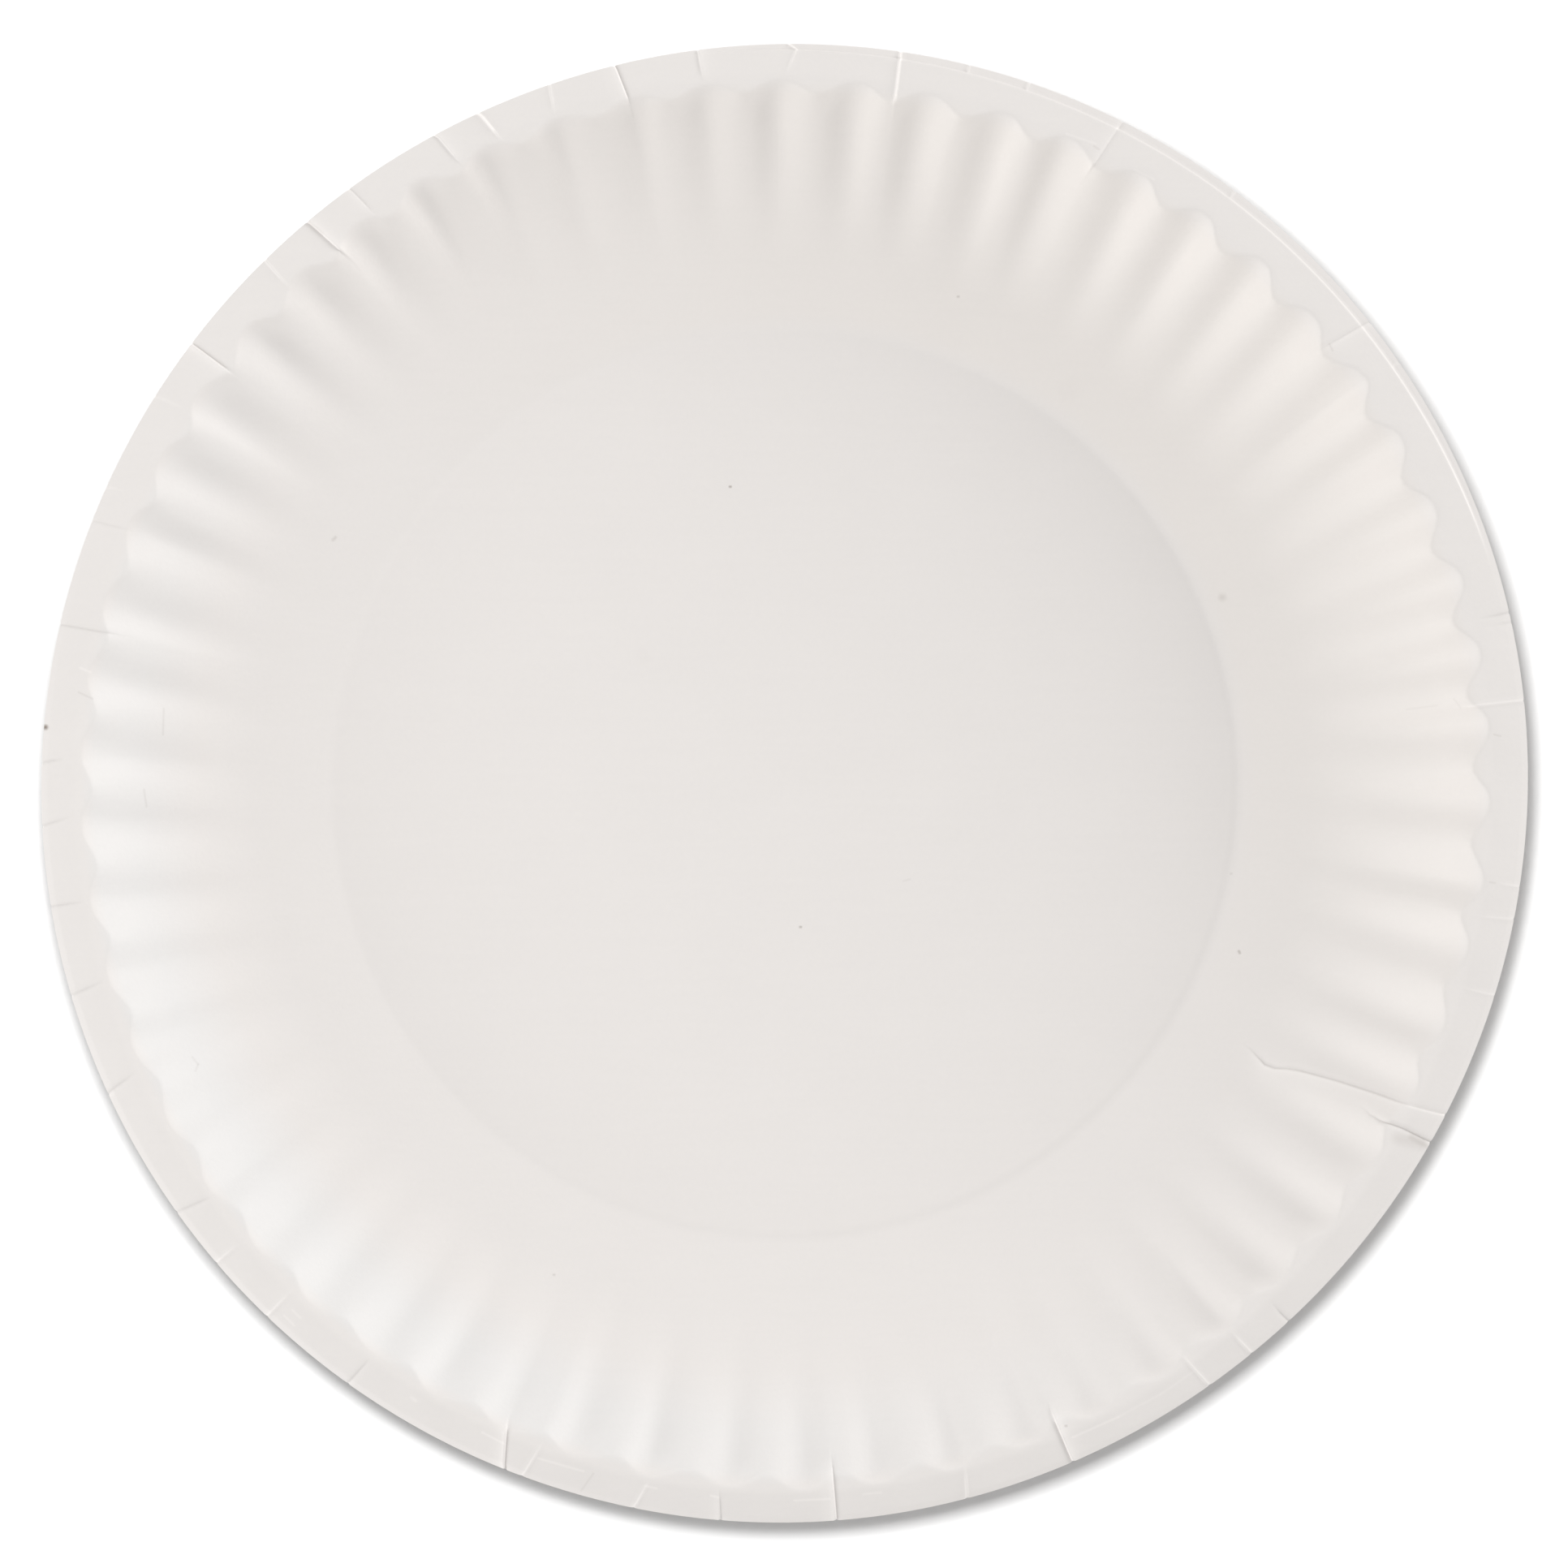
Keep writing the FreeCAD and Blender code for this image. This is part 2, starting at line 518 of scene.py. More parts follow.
@dataclass
class PressedPlate:
    """The plate: one disc of paperboard, pressed to its section and given its thickness."""

    section: PlateSection
    flutes: Flutes = Flutes()
    outline: Outline = Outline()
    turned_edge: TurnedEdge = TurnedEdge()
    brim_droop: BrimDroop = BrimDroop()
    brim_waves: BrimWaves = BrimWaves()
    creases: tuple[Crease, ...] = CREASES
    name: str = "pressed_plate"
    columns_per_flute: int = 10
    crease_columns: tuple[float, ...] = (-1.0, -0.4, -0.15, 0.0, 0.15, 0.4, 1.0)
    crease_width: float = 0.2
    crease_fade: float = 3.0
    column_gap: float = 0.45
    nick_share: float = 0.7
    smooth_angle: float = 55.0
    # how far the rings lie from the fold, the shoulder and the turned line
    base_band: float = 18.0
    fold_band: float = 1.0
    shoulder_band: tuple[float, float] = (1.2, 0.8)
    line_band: tuple[float, float, float] = (0.8, 0.2, 0.12)

    def ring_radii(self) -> list[float]:
        """Lists the mean radii of the rings, closer together where the section bends.

        Returns:
            The radii from the innermost ring to the edge.
        """
        section = self.section
        line = section.edge_radius - self.turned_edge.strip_width
        inside_shoulder, outside_shoulder = self.shoulder_band
        before_line, near_line, past_line = self.line_band
        stops = (
            (section.fold_radius - self.base_band, 1),
            (section.fold_radius - self.fold_band, 5),
            (section.fold_radius + self.fold_band, 6),
            (section.wall_start(), 4),
            (section.wall_end() - inside_shoulder, 14),
            (section.wall_end() + outside_shoulder, 9),
            (line - before_line, 4),
            (line - near_line, 2),
            (line, 1),
            (line + past_line, 1),
            (line + self.turned_edge.drop_length, 1),
            (section.edge_radius, 3),
        )
        radii: list[float] = []
        for stop, steps in stops:
            start = radii[-1] if radii else 0.0
            for step in range(1, steps + 1):
                radii.append(start + (stop - start) * step / steps)
        return radii

    def column_starts(self) -> Array:
        """Spreads the columns round the edge: a set for each flute and a close cluster at each crease.

        Returns:
            The sorted angles of all columns at the plate's edge.
        """
        to_degrees = math.degrees(1.0 / self.section.edge_radius)
        clear_of = (self.crease_columns[-1] + self.column_gap) * to_degrees
        count = self.flutes.count * self.columns_per_flute
        plain = self.flutes.first_hollow_angle + np.arange(count) * 360.0 / count
        for crease in self.creases:
            plain = plain[np.abs(angle_between(plain, crease.edge_angle)) > clear_of]
        starts = list(plain % 360.0)
        for crease in self.creases:
            starts += [(crease.edge_angle + offset * to_degrees) % 360.0 for offset in self.crease_columns]
        return np.sort(np.array(starts))

    def column_angles(self, starts: Array, radius: float) -> Array:
        """Finds where each column crosses one ring, with the columns near a crease following its slant.

        Args:
            starts: the columns' angles at the edge.
            radius: the ring's mean radius.

        Returns:
            The columns' angles on that ring.
        """
        edge = self.section.edge_radius
        to_degrees = math.degrees(1.0 / edge)
        held = []
        for crease in self.creases:
            angle = float(crease.angle_at(np.array(radius), edge))
            for offset in self.crease_columns:
                held.append((crease.edge_angle + offset * to_degrees, angle + offset * to_degrees))
        held.sort()
        known = np.array(
            [(start + turn, angle + turn) for turn in (-360.0, 0.0, 360.0) for start, angle in held]
        )
        return np.interp(starts, known[:, 0], known[:, 1])

    def blank(self, radii: list[float], columns: int) -> Object:
        """Cuts the flat disc and insets it once for every ring.

        Args:
            radii: the rings' mean radii, the edge last.
            columns: how many columns the disc is divided into.

        Returns:
            The flat disc, in edit-ready form.
        """
        bpy.ops.object.select_all(action="DESELECT")
        bpy.ops.mesh.primitive_circle_add(vertices=columns, radius=radii[-1] * MM, fill_type="NGON")
        plate = bpy.context.object
        plate.name = self.name
        plate.data.name = self.name
        bpy.ops.object.mode_set(mode="EDIT")
        bpy.ops.mesh.select_mode(type="FACE")
        bpy.ops.mesh.select_all(action="SELECT")
        for outer, inner in zip(radii[:0:-1], radii[-2::-1]):
            bpy.ops.mesh.inset(thickness=(outer - inner) * MM)
        bpy.ops.mesh.select_all(action="SELECT")
        bpy.ops.mesh.normals_make_consistent(inside=False)
        bpy.ops.object.mode_set(mode="OBJECT")
        return plate

    def crease_height(self, radius: Array, angles: Array) -> Array:
        """Adds up the heights of all creases.

        Args:
            radius: mean radii of the vertices.
            angles: their angles.

        Returns:
            The heights to add to the sheet.
        """
        edge = self.section.edge_radius
        total = np.zeros_like(angles)
        for crease in self.creases:
            line = crease.angle_at(radius, edge)
            across = np.radians(angle_between(angles, line)) * radius
            fade = min(self.crease_fade, (edge - crease.inner_radius) / 2)
            along = smooth_rise((radius - crease.inner_radius) / fade)
            total += crease.height * along * crease.profile(across, self.crease_width)
        return total

    def nicks(self, angles: Array) -> Array:
        """Gives how far the edge is pulled in where a crease meets it.

        Args:
            angles: angles round the plate.

        Returns:
            The distances in millimetres.
        """
        total = np.zeros_like(angles)
        for crease in self.creases:
            across = np.radians(angle_between(angles, crease.edge_angle)) * self.section.edge_radius
            total += crease.height * self.nick_share * bell(across, self.crease_width)
        return total

    def press(self, radius: Array, angles: Array) -> Array:
        """Presses the flat disc to shape.

        Args:
            radius: mean radii of the vertices.
            angles: their final angles.

        Returns:
            The pressed places, in millimetres.
        """
        section = self.section
        on_brim = section.brim_share(radius)
        wave = self.flutes.wave(angles, section.growth(radius), section.wall_end() - radius)
        line = section.edge_radius - self.turned_edge.strip_width
        strip = np.clip((radius - line) / self.turned_edge.strip_width, 0.0, 1.0)
        to_line = np.clip((radius - section.wall_end()) / (line - section.wall_end()), 0.0, 1.0)
        pushed = 0.5 * section.depth(radius) * wave * (1.0 - to_line)

        strip_shift = self.turned_edge.strip_width - self.turned_edge.width(angles)
        shifted = self.outline.shift(angles) * on_brim + strip_shift * to_line * (1.0 - strip)
        at_edge = np.isclose(radius, section.edge_radius)
        distance = radius + pushed + shifted - self.nicks(angles) * at_edge

        height = section.height(radius) - self.brim_droop.fall(on_brim, angles)
        height = height + self.brim_waves.lift(angles) * on_brim
        height = height + self.turned_edge.height(radius - line, angles)
        height = height + self.crease_height(radius, angles)
        turn = np.radians(angles)
        return np.column_stack((distance * np.cos(turn), distance * np.sin(turn), height))

    def shape(self, plate: Object, radii: list[float], starts: Array) -> None:
        """Moves every vertex of the flat disc to its pressed place.

        Args:
            plate: the flat disc.
            radii: the rings' mean radii.
            starts: the columns' angles at the edge.
        """
        flat = vertex_places(plate.data)
        found = np.hypot(flat[:, 0], flat[:, 1])
        ring = np.abs(found[:, None] - np.array(radii)[None, :]).argmin(axis=1)
        pitch = 360.0 / len(starts)
        turned = np.degrees(np.arctan2(flat[:, 1], flat[:, 0]))
        first = turned[ring == len(radii) - 1].max()
        column = np.round((turned - first) / pitch).astype(int) % len(starts)

        table = np.array([self.column_angles(starts, radius) for radius in radii])
        angles = table[ring, column]
        radius = np.array(radii)[ring]
        # keeps the crease heights for the paper's painted light on raised folds and painted shade in slits
        tone = plate.data.attributes.new(CREASE_PAINTED_LIGHT, "FLOAT", "POINT")
        tone.data.foreach_set("value", self.crease_height(radius, angles))
        move_vertices(plate.data, self.press(radius, angles))

    def thicken(self, plate: Object) -> None:
        """Gives the pressed sheet its thickness, straight down, with the cut edge closed.

        Args:
            plate: the pressed sheet.
        """
        upper_count = len(plate.data.vertices)
        solidify = plate.modifiers.new("thickness", "SOLIDIFY")
        solidify.thickness = self.section.sheet_thickness * MM
        solidify.offset = -1.0
        bpy.ops.object.modifier_apply(modifier=solidify.name)

        places = vertex_places(plate.data)
        upper = places[:upper_count]
        steepness = self.section.steepness(np.hypot(upper[:, 0], upper[:, 1]))
        places[upper_count:] = upper
        places[upper_count:, 2] -= self.section.sheet_thickness * np.sqrt(1.0 + steepness * steepness)
        move_vertices(plate.data, places)

    def build(self) -> Object:
        """Makes the plate from a flat disc.

        Returns:
            The finished mesh object.
        """
        radii = self.ring_radii()
        starts = self.column_starts()
        plate = self.blank(radii, len(starts))
        self.shape(plate, radii, starts)
        self.thicken(plate)
        bpy.ops.object.shade_smooth_by_angle(angle=math.radians(self.smooth_angle))
        faces = len(plate.data.polygons)
        log.info("%s: %d columns, %d rings, %d faces", self.name, len(starts), len(radii), faces)
        return plate


# Finishes


class NodeBoard:
    """One node tree, with short ways to add nodes and join them."""

    def __init__(self, tree: NodeTree) -> None:
        """Takes the tree that the nodes go into."""
        self.tree = tree

    def node(self, kind: str, **inputs: Given) -> Node:
        """Adds a node and fills its inputs.

        Args:
            kind: the node's type name.
            inputs: values or sockets for the inputs, by name with spaces written as underscores.

        Returns:
            The new node.
        """
        made = self.tree.nodes.new(kind)
        for name, given in inputs.items():
            self.fill(made.inputs[name.replace("_", " ")], given)
        return made

    def fill(self, socket: NodeSocket, given: Given) -> None:
        """Joins an input to a socket, or sets its value.

        Args:
            socket: the input.
            given: the output that it is joined to, or its value.
        """
        if isinstance(given, NodeSocket):
            self.tree.links.new(given, socket)
        else:
            socket.default_value = given

    def math(self, operation: str, *given: Given, clamp: bool = False) -> NodeSocket:
        """Adds a Math node.

        Args:
            operation: the operation's name.
            given: numbers or sockets, in order.
            clamp: whether the result is held between 0 and 1.

        Returns:
            The result's socket.
        """
        made = self.tree.nodes.new("ShaderNodeMath")
        made.operation = operation
        made.use_clamp = clamp
        for socket, value in zip(made.inputs, given):
            self.fill(socket, value)
        return made.outputs[0]

    def vector(self, operation: str, *given: Given, output: str = "Vector") -> NodeSocket:
        """Adds a Vector Math node.

        Args:
            operation: the operation's name.
            given: vectors or sockets, in order.
            output: the name of the result that is wanted.

        Returns:
            The result's socket.
        """
        made = self.tree.nodes.new("ShaderNodeVectorMath")
        made.operation = operation
        for socket, value in zip(made.inputs, given):
            self.fill(socket, value)
        return made.outputs[output]

    def scaled(self, vector: Given, share: NodeSocket) -> NodeSocket:
        """Adds a Vector Math node that multiplies a vector by a number.

        Args:
            vector: the vector or its socket.
            share: the number's socket.

        Returns:
            The result's socket.
        """
        made = self.tree.nodes.new("ShaderNodeVectorMath")
        made.operation = "SCALE"
        self.fill(made.inputs["Vector"], vector)
        self.fill(made.inputs["Scale"], share)
        return made.outputs["Vector"]

    def noise(self, place: NodeSocket, scale: float, detail: float) -> NodeSocket:
        """Adds a noise texture, its scale in repeats a metre, and gives its value around one half."""
        made = self.node("ShaderNodeTexNoise", Vector=place, Scale=scale, Detail=detail)
        return made.outputs["Fac"]

    def where_seen(self, unseen: NodeSocket, seen: NodeSocket) -> NodeSocket:
        """Shows one shader to the camera, to reflections and through glass, and another to the rest.

        Args:
            unseen: the shader that lights the object.
            seen: the shader that is looked at.

        Returns:
            The mixed shader's socket.
        """
        path = self.node("ShaderNodeLightPath").outputs
        looked_at = self.math("ADD", path["Is Camera Ray"], path["Is Glossy Ray"])
        looked_at = self.math("ADD", looked_at, path["Is Transmission Ray"], clamp=True)
        mixed = self.tree.nodes.new("ShaderNodeMixShader")
        for socket, given in zip(mixed.inputs, (looked_at, unseen, seen)):
            self.fill(socket, given)
        return mixed.outputs["Shader"]


class MarkKind(Enum):
    """What a small mark on the paper is, as (soiled share, painted highlight share, reach in mm): scores
    are drawn lighter as painted highlights.
    """

    SPECK = (0.6, 0.0, 0.34)
    SCRATCH = (0.12, 0.0, 0.3)
    SCORE = (0.0, 0.06, 0.34)
    SMUDGE = (0.04, 0.0, 1.8)


@dataclass(frozen=True)
class Mark:
    """One mark, a short stroke from one pixel of the photo to another."""

    start: tuple[float, float]
    end: tuple[float, float]
    strength: float = 1.0
    spread: float = 1.0


MARKS = {
    MarkKind.SPECK: (
        Mark((899, 598), (900, 598)), Mark((408, 664), (411, 661), 0.35, 1.3),
        Mark((1508, 735), (1509, 735), 0.32, 2.9), Mark((986, 1143), (987, 1143), 0.8),
        Mark((1529, 1173), (1530, 1175), 0.7, 1.1), Mark((1519, 1077), (1520, 1077), 0.25),
        Mark((55, 896), (56, 896), 1.6, 2.0), Mark((1181, 363), (1182, 363), 0.5),
        Mark((681, 1573), (682, 1573), 0.4), Mark((1313, 1757), (1314, 1757), 0.45),
    ),
    MarkKind.SMUDGE: (
        Mark((791, 806), (794, 810), 0.55, 0.9), Mark((1722, 1402), (1752, 1410), 3.0, 0.9),
        Mark((1739, 1401), (1757, 1411), 4.0, 0.45), Mark((379, 274), (396, 288), 2.2, 0.35),
        Mark((1316, 480), (1318, 481), 0.5, 1.6),
    ),
    MarkKind.SCRATCH: (
        Mark((1114, 1086), (1122, 1084), 0.7), Mark((200, 873), (199, 905)),
        Mark((176, 973), (179, 994)), Mark((97, 853), (114, 861)), Mark((236, 1303), (243, 1312), 0.8),
        Mark((243, 1312), (240, 1320), 0.8), Mark((1735, 874), (1772, 869), 0.5),
        Mark((1792, 861), (1800, 872), 0.6), Mark((731, 1816), (716, 1837), 0.8),
        Mark((1841, 905), (1849, 907)), Mark((1836, 1087), (1842, 1088)),
        Mark((1638, 424), (1642, 432)), Mark((1348, 180), (1354, 184)),
    ),
    # thin pressed lines, drawn lighter than the paper as painted highlights
    MarkKind.SCORE: (
        Mark((99, 823), (111, 828)), Mark((594, 1765), (621, 1779)), Mark((663, 1797), (719, 1813)),
        Mark((795, 1831), (809, 1834)), Mark((876, 1843), (885, 1845)), Mark((979, 1849), (1022, 1847)),
        Mark((1064, 1841), (1086, 1839), 0.8), Mark((1322, 1771), (1378, 1746)),
        Mark((1378, 1746), (1430, 1718), 0.5), Mark((1430, 1718), (1471, 1690), 0.5),
        Mark((370, 1624), (360, 1614), 0.8), Mark((362, 1633), (350, 1621), 0.8),
        Mark((507, 1722), (512, 1726), 0.8, 1.5), Mark((1314, 165), (1350, 177), 0.7),
        Mark((1398, 209), (1422, 221), 0.7),
    ),
}


@dataclass(frozen=True)
class StrokeGroup:
    """The node group that gives the mask of one straight stroke."""

    name: str = "stroke_mask"

    def build(self) -> NodeTree:
        """Builds the group once.

        Returns:
            The group, with a place, two ends and a reach going in and a mask coming out.
        """
        group = bpy.data.node_groups.new(self.name, "ShaderNodeTree")
        for socket_name, socket_kind in (
            ("Place", "NodeSocketVector"),
            ("Start", "NodeSocketVector"),
            ("End", "NodeSocketVector"),
            ("Reach", "NodeSocketFloat"),
        ):
            group.interface.new_socket(socket_name, in_out="INPUT", socket_type=socket_kind)
        group.interface.new_socket("Mask", in_out="OUTPUT", socket_type="NodeSocketFloat")
        board = NodeBoard(group)
        given = board.node("NodeGroupInput").outputs
        stroke = board.vector("SUBTRACT", given["End"], given["Start"])
        offset = board.vector("SUBTRACT", given["Place"], given["Start"])
        along = board.vector("DOT_PRODUCT", offset, stroke, output="Value")
        length = board.vector("DOT_PRODUCT", stroke, stroke, output="Value")
        nearest = board.scaled(stroke, board.math("DIVIDE", along, length, clamp=True))
        away = board.vector("DISTANCE", offset, nearest, output="Value")
        fade = board.node("ShaderNodeMapRange", Value=away, From_Max=given["Reach"], To_Min=1.0, To_Max=0.0)
        fade.interpolation_type = "SMOOTHSTEP"
        board.node("NodeGroupOutput", Mask=fade.outputs["Result"])
        return group


@dataclass(frozen=True)
class PlanNodes:
    """A material's nodes, with the place on the plate, seen in plan, that its masks start from."""

    board: NodeBoard
    place: NodeSocket
    radius: NodeSocket

    def past(self, start: float, run_in: float) -> NodeSocket:
        """Gives a share that rises from 0 to 1 going outwards.

        Args:
            start: the radius where it leaves 0, in millimetres.
            run_in: how far out it reaches 1; a negative one makes it 1 inside and 0 from the start.

        Returns:
            The share's socket.
        """
        beyond = self.board.math("SUBTRACT", self.radius, start * MM)
        return self.board.math("DIVIDE", beyond, run_in * MM, clamp=True)

    def swing(self, angle: float, size: float, mean: float) -> NodeSocket:
        """Gives a tone that swings once round the plate.

        Args:
            angle: where the tone is lightest.
            size: how far it swings to each side of its mean.
            mean: its mean.

        Returns:
            The tone's socket.
        """
        turn = math.radians(angle)
        towards = (math.cos(turn), math.sin(turn), 0.0)
        outwards = self.board.vector("NORMALIZE", self.place)
        facing = self.board.vector("DOT_PRODUCT", outwards, towards, output="Value")
        return self.board.math("MULTIPLY_ADD", facing, size, mean)


@dataclass(frozen=True)
class PaperFinish:
    """White uncoated paperboard: soft mottle, fine fibres and small marks, with painted light and shade
    along the creases, the fold line and the brim, and painted sheen and light colours on the wall.
    """

    photo: PhotoFrame
    fold_radius: float
    name: str = "uncoated_paperboard"
    colour: tuple[float, float, float] = (0.80, 0.767, 0.742)
    soil: tuple[float, float, float] = (0.25, 0.205, 0.17)
    roughness: float = 0.7
    roughness_spread: float = 0.12
    cloud_scale: float = 70.0
    cloud_share: float = 0.02
    fibre_scale: float = 1500.0
    fibre_share: float = 0.03
    fibre_detail: float = 4.0
    coarse_detail: float = 2.0
    streak_scale: tuple[float, float, float] = (60.0, 900.0, 900.0)
    streak_share: float = 0.016
    # how much the crease heights lighten raised folds and darken slits: painted light and shade
    crease_light_share: float = 0.5
    # the fold line's painted light and shade: its half width, mean, swing and the angle where it is
    # lightest
    fold_half_width: float = 1.2
    fold_lift: float = -0.012
    fold_swing: float = 0.02
    fold_light_angle: float = 150.0
    # the brim's painted shade: where it starts, how fast it fades in, its mean, swing and the angle where
    # it is lightest
    brim_radius: float = 108.9
    brim_fade: float = 1.0
    brim_lift: float = -0.012
    brim_swing: float = 0.021
    brim_light_angle: float = 97.0
    # painted light colour, off the brim: a cool painted sheen on the lower left flutes and a warm painted
    # light on the upper right wall
    tint_end: float = 108.4
    tint_fade: float = 2.0
    cool_start: float = 91.0
    cool_run_in: float = 9.0
    cool_angle: float = 222.0
    cool_sheen_shift: tuple[float, float, float] = (-0.010, 0.009, 0.021)
    warm_run_in: float = 3.0
    warm_angle: float = 50.0
    warm_light_shift: tuple[float, float, float] = (0.006, 0.0, -0.009)
    bump_distance: float = 0.00004
    bump_strength: float = 0.35

    def marks(self, plan: PlanNodes) -> tuple[Given, Given]:
        """Adds up the small marks.

        Args:
            plan: the material's nodes.

        Returns:
            The soiled share of the marks, and the painted highlight share of the score lines.
        """
        board = plan.board
        group = StrokeGroup().build()
        soiled: Given = 0.0
        highlighted: Given = 0.0
        for kind, marks in MARKS.items():
            soiling, highlighting, reach = kind.value
            for mark in marks:
                stroke = board.tree.nodes.new("ShaderNodeGroup")
                stroke.node_tree = group
                board.fill(stroke.inputs["Place"], plan.place)
                for socket_name, pixel in (("Start", mark.start), ("End", mark.end)):
                    along, up = self.photo.place(*pixel)
                    stroke.inputs[socket_name].default_value = (along * MM, up * MM, 0.0)
                stroke.inputs["Reach"].default_value = reach * mark.spread * MM
                mask = stroke.outputs["Mask"]
                # score lines lighten the paper: a painted highlight
                if highlighting:
                    highlighted = board.math("MULTIPLY_ADD", mask, highlighting * mark.strength, highlighted)
                else:
                    soiled = board.math("MULTIPLY_ADD", mask, soiling * mark.strength, soiled)
        return soiled, highlighted

    def painted_fold_light(self, plan: PlanNodes) -> NodeSocket:
        """Gives the painted light and shade along the fold line round the base: lighter towards the upper
        left, darker towards the lower right and a little darker on the whole.

        Args:
            plan: the material's nodes.

        Returns:
            The share to lighten the paper by, negative where the painted shade darkens it.
        """
        board = plan.board
        away = board.math("ABSOLUTE", board.math("SUBTRACT", plan.radius, self.fold_radius * MM))
        share = board.math("DIVIDE", away, self.fold_half_width * MM)
        near = board.math("SUBTRACT", 1.0, share, clamp=True)
        tone = plan.swing(self.fold_light_angle, self.fold_swing, self.fold_lift)
        return board.math("MULTIPLY", near, tone)

    def painted_brim_shade(self, plan: PlanNodes) -> NodeSocket:
        """Gives the share to lighten the brim by, painted shade: darker on the whole, most towards the
        bottom, a little lighter towards the top.
        """
        tone = plan.swing(self.brim_light_angle, self.brim_swing, self.brim_lift)
        return plan.board.math("MULTIPLY", plan.past(self.brim_radius, self.brim_fade), tone)

    def colour_with_painted_light(self, plan: PlanNodes) -> Given:
        """Gives the paper's colour with painted light: a cooler painted sheen in the flutes towards the
        lower left and a warmer painted light on the wall towards the upper right.

        Args:
            plan: the material's nodes.

        Returns:
            The colour, as a vector.
        """
        board = plan.board
        off_brim = plan.past(self.tint_end, -self.tint_fade)
        colour: Given = self.colour
        for start, run_in, angle, shift in (
            (self.cool_start, self.cool_run_in, self.cool_angle, self.cool_sheen_shift),
            (self.fold_radius, self.warm_run_in, self.warm_angle, self.warm_light_shift),
        ):
            on_wall = board.math("MULTIPLY", plan.past(start, run_in), off_brim)
            facing = board.math("MAXIMUM", plan.swing(angle, 1.0, 0.0), 0.0)
            share = board.math("MULTIPLY", on_wall, facing)
            colour = board.vector("ADD", board.scaled(shift, share), colour)
        return colour

    def build(self) -> Material:
        """Builds the material.

        Returns:
            The material, ready to be given to the plate.
        """
        material = bpy.data.materials.new(self.name)
        material.use_nodes = True
        board = NodeBoard(material.node_tree)
        shader = material.node_tree.nodes["Principled BSDF"]
        place = board.node("ShaderNodeTexCoord").outputs["Object"]
        flat_place = board.vector("MULTIPLY", place, (1.0, 1.0, 0.0))
        plan = PlanNodes(board, flat_place, board.vector("LENGTH", flat_place, output="Value"))
        stretched = board.node("ShaderNodeMapping", Vector=place, Scale=self.streak_scale)

        cloud = board.noise(place, self.cloud_scale, self.coarse_detail)
        fibre = board.noise(place, self.fibre_scale, self.fibre_detail)
        streak = board.noise(stretched.outputs["Vector"], 1.0, self.coarse_detail)
        crease = board.node("ShaderNodeAttribute")
        crease.attribute_name = CREASE_PAINTED_LIGHT
        soiled, highlighted = self.marks(plan)

        # painted light and shade along the fold line, and the painted highlights of the score lines
        tone = board.math("ADD", self.painted_fold_light(plan), highlighted)
        # painted shade on the brim
        tone = board.math("ADD", self.painted_brim_shade(plan), tone)
        for noise, share in (
            (cloud, self.cloud_share),
            (fibre, self.fibre_share),
            (streak, self.streak_share),
        ):
            centred = board.math("SUBTRACT", noise, 0.5)
            tone = board.math("MULTIPLY_ADD", centred, share, tone)
        # painted light on raised folds and painted shade in slits, from the crease heights
        tone = board.math("MULTIPLY_ADD", crease.outputs["Fac"], self.crease_light_share, tone)
        # the paper's own colour with its painted sheen and light colour
        toned = board.scaled(self.colour_with_painted_light(plan), board.math("ADD", tone, 1.0))
        mixed = board.node("ShaderNodeMix")
        mixed.data_type = "RGBA"
        board.fill(mixed.inputs["Factor"], soiled)
        mixed_colours = [socket for socket in mixed.inputs if socket.type == "RGBA"]
        board.fill(mixed_colours[0], toned)
        mixed_colours[1].default_value = (*self.soil, 1.0)
        seen = [socket for socket in mixed.outputs if socket.type == "RGBA"]
        board.fill(shader.inputs["Base Color"], seen[0])

        rough = board.math("SUBTRACT", fibre, 0.5)
        rough = board.math("MULTIPLY_ADD", rough, self.roughness_spread, self.roughness)
        board.fill(shader.inputs["Roughness"], rough)
        bump = board.node("ShaderNodeBump", Height=fibre)
        bump.inputs["Strength"].default_value = self.bump_strength
        bump.inputs["Distance"].default_value = self.bump_distance
        board.fill(shader.inputs["Normal"], bump.outputs["Normal"])
        return material


def grey(level: float) -> tuple[float, float, float, float]:
    """Gives an even grey as a colour."""
    return (level, level, level, 1.0)


@dataclass(frozen=True)
class FloorFinish:
    """The pale floor: white where the camera sees it lit, with the plate's shadow kept."""

    name: str = "pale_floor"
    colour: float = 0.8
    seen_colour: float = 0.64

    def build(self) -> Material:
        """Builds the material.

        Returns:
            The floor's material.
        """
        material = bpy.data.materials.new(self.name)
        material.use_nodes = True
        material.node_tree.nodes.clear()
        board = NodeBoard(material.node_tree)
        plain = board.node("ShaderNodeBsdfDiffuse", Color=grey(self.colour))
        seen = board.node("ShaderNodeBsdfDiffuse", Color=grey(self.seen_colour))
        surface = board.where_seen(plain.outputs["BSDF"], seen.outputs["BSDF"])
        board.node("ShaderNodeOutputMaterial", Surface=surface)
        return material


# The studio


class LampReach(Enum):
    """What a lamp lights."""

    PLATE = "the plate alone, flagged off the floor"
    FLOOR = "the floor alone, where it casts the plate's shadow"


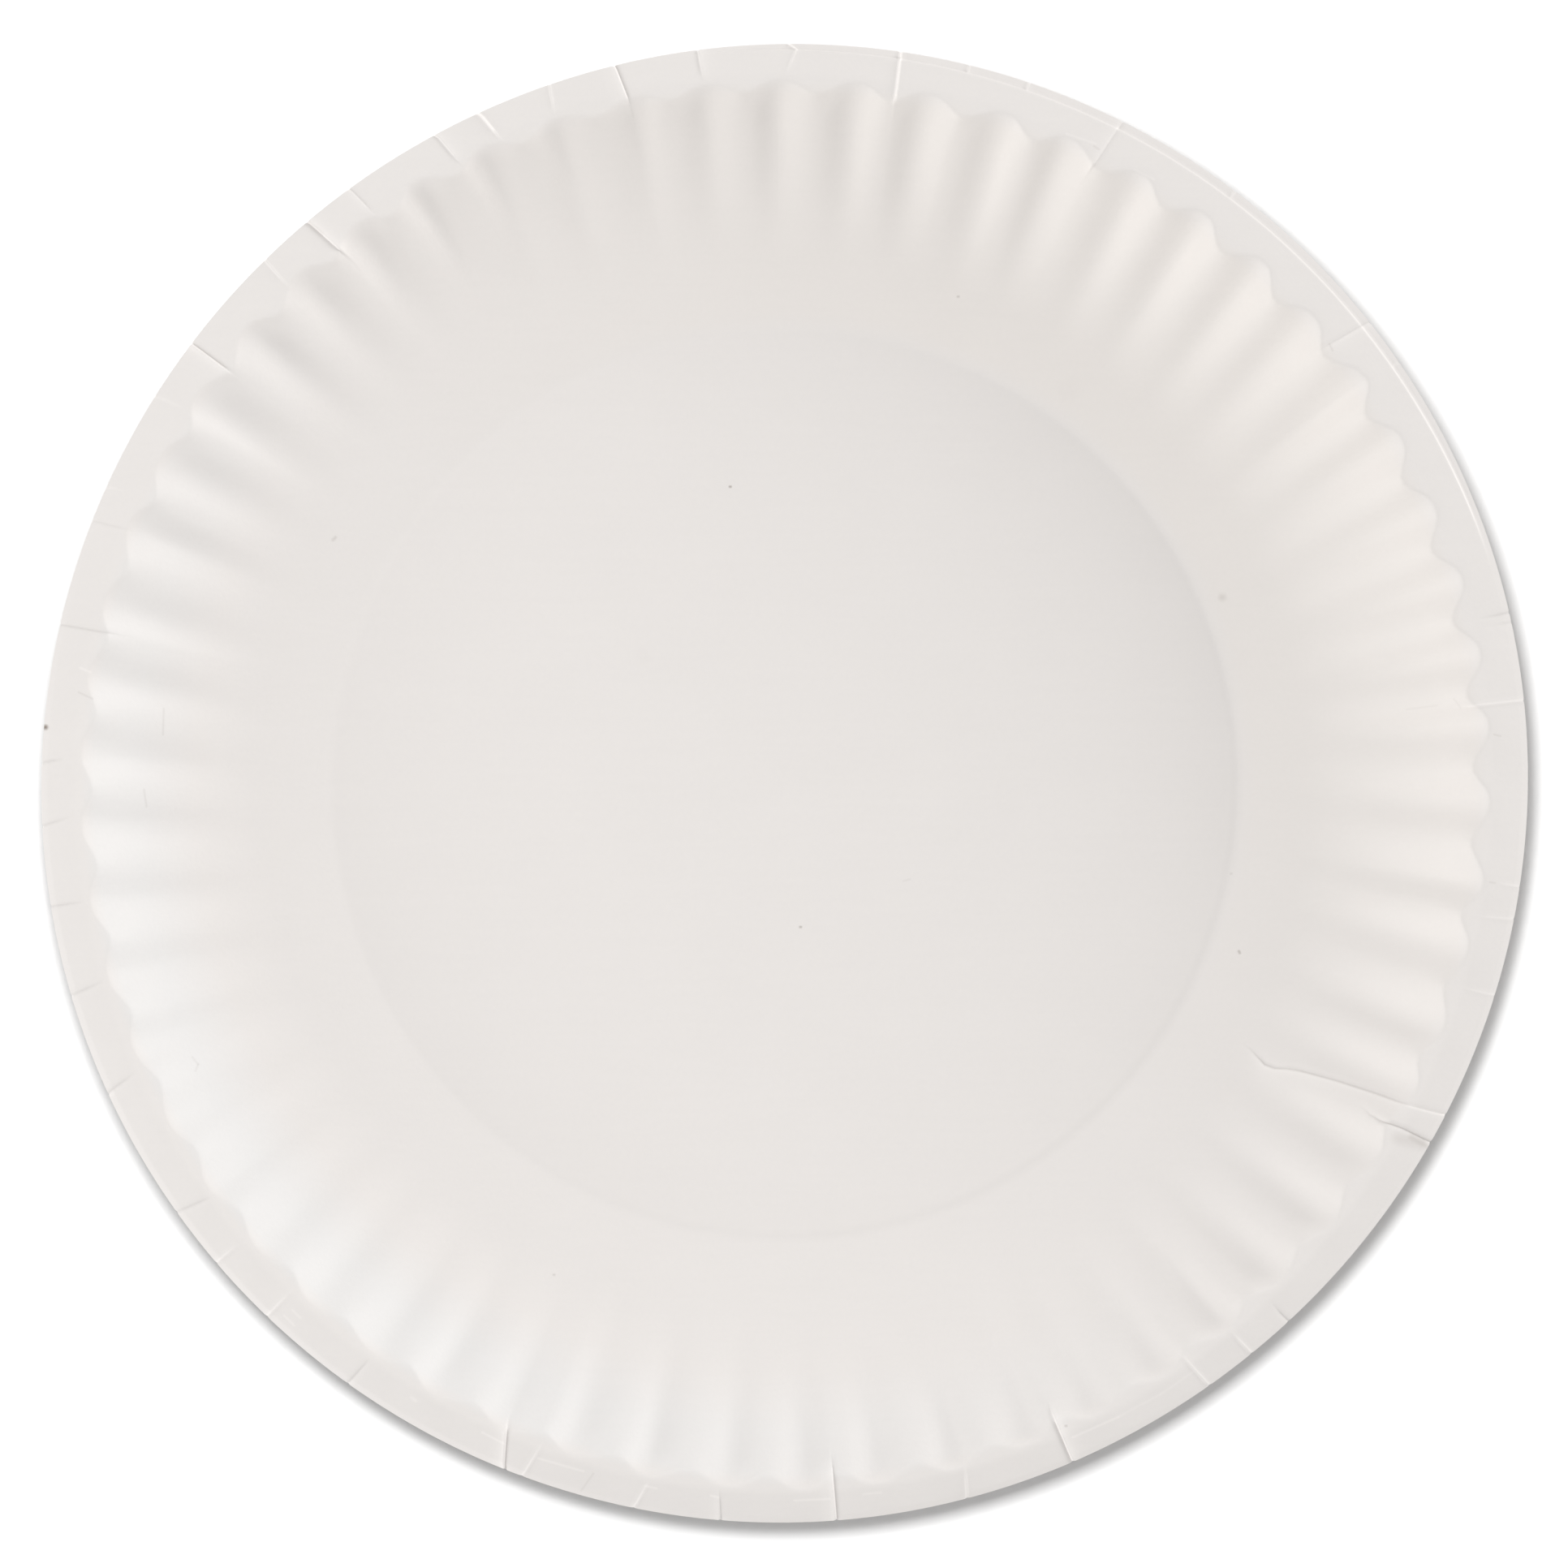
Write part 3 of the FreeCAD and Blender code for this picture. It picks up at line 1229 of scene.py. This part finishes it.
@dataclass(frozen=True)
class SoftLamp:
    """One square soft lamp that points at the plate."""

    name: str
    azimuth: float
    elevation: float
    distance: float
    side: float
    power: float
    reach: LampReach

    def build(self, floor: Object) -> None:
        """Places the lamp.

        Args:
            floor: the floor, which the lamp either leaves unlit or lights alone.
        """
        data = bpy.data.lights.new(self.name, "AREA")
        data.shape = "SQUARE"
        data.size = self.side
        data.energy = self.power
        lamp = bpy.data.objects.new(self.name, data)
        bpy.context.scene.collection.objects.link(lamp)
        azimuth = math.radians(self.azimuth)
        elevation = math.radians(self.elevation)
        towards = Vector(
            (
                math.cos(azimuth) * math.cos(elevation),
                math.sin(azimuth) * math.cos(elevation),
                math.sin(elevation),
            )
        )
        lamp.location = towards * self.distance
        lamp.rotation_mode = "QUATERNION"
        lamp.rotation_quaternion = (-towards).to_track_quat("-Z", "Y")
        lamp.visible_camera = False
        lit = bpy.data.collections.new(f"{self.name}_lights")
        lit.objects.link(floor)
        if self.reach is LampReach.PLATE:
            lit.collection_objects[0].light_linking.link_state = "EXCLUDE"
        lamp.light_linking.receiver_collection = lit


@dataclass(frozen=True)
class Studio:
    """The floor, the lamps, the white surroundings and the camera straight above."""

    photo: PhotoFrame
    view_height: float
    floor_side: float = 12.0
    surround_strength: float = 0.715
    lens: float = 500.0
    sensor: float = 36.0
    camera_reach: float = 100.0
    # each lamp's azimuth, elevation, distance and side in metres, and watts
    lamps: tuple[SoftLamp, ...] = (
        SoftLamp("right_lamp", 26.0, 13.0, 2.5, 0.8, 34.0, LampReach.PLATE),
        SoftLamp("left_lamp", 197.0, 24.0, 1.3, 0.58, 7.8, LampReach.PLATE),
        SoftLamp("floor_lamp", 118.0, 84.0, 1.5, 0.24, 25.0, LampReach.FLOOR),
    )

    def add_floor(self) -> Object:
        """Lays the floor under the plate.

        Returns:
            The floor object.
        """
        bpy.ops.object.select_all(action="DESELECT")
        bpy.ops.mesh.primitive_plane_add(size=self.floor_side)
        floor = bpy.context.object
        floor.name = "floor"
        floor.data.materials.append(FloorFinish().build())
        return floor

    def add_surround(self) -> None:
        """Sets soft light from all round, and plain white where the camera sees past the floor."""
        world = bpy.data.worlds.new("surround")
        bpy.context.scene.world = world
        world.use_nodes = True
        world.node_tree.nodes.clear()
        board = NodeBoard(world.node_tree)
        soft = board.node("ShaderNodeBackground", Color=grey(1.0), Strength=self.surround_strength)
        plain = board.node("ShaderNodeBackground", Color=grey(1.0), Strength=1.0)
        surface = board.where_seen(soft.outputs["Background"], plain.outputs["Background"])
        board.node("ShaderNodeOutputWorld", Surface=surface)

    def add_camera(self) -> None:
        """Hangs the camera straight above the plate, far away, as the photo shows no perspective."""
        data = bpy.data.cameras.new("overhead_camera")
        data.lens = self.lens
        data.sensor_width = self.sensor
        data.clip_end = self.camera_reach
        camera = bpy.data.objects.new("overhead_camera", data)
        bpy.context.scene.collection.objects.link(camera)
        distance = self.photo.width() * self.lens / self.sensor
        off_centre = (self.photo.side_pixels / 2 - self.photo.centre_pixel) * self.photo.mm_per_pixel
        camera.location = Vector((off_centre, -off_centre, self.view_height + distance)) * MM
        bpy.context.scene.camera = camera

    def build(self) -> None:
        """Sets up the whole studio."""
        floor = self.add_floor()
        self.add_surround()
        self.add_camera()
        for lamp in self.lamps:
            lamp.build(floor)
        bpy.context.scene.view_settings.view_transform = "Standard"


def main() -> None:
    """Builds the plate and the studio round it."""
    logging.basicConfig(level=logging.INFO, format="%(message)s")
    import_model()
    lowest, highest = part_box("plate")
    photo = PhotoFrame()
    section = PlateSection(edge_radius=(highest.x - lowest.x) / 2 / MM, overall_height=highest.z / MM)

    plate = PressedPlate(section).build()
    plate.data.materials.append(PaperFinish(photo, section.fold_radius).build())
    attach(plate, "root")
    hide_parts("plate")

    Studio(photo, view_height=section.overall_height).build()


if __name__ == "__main__":
    main()
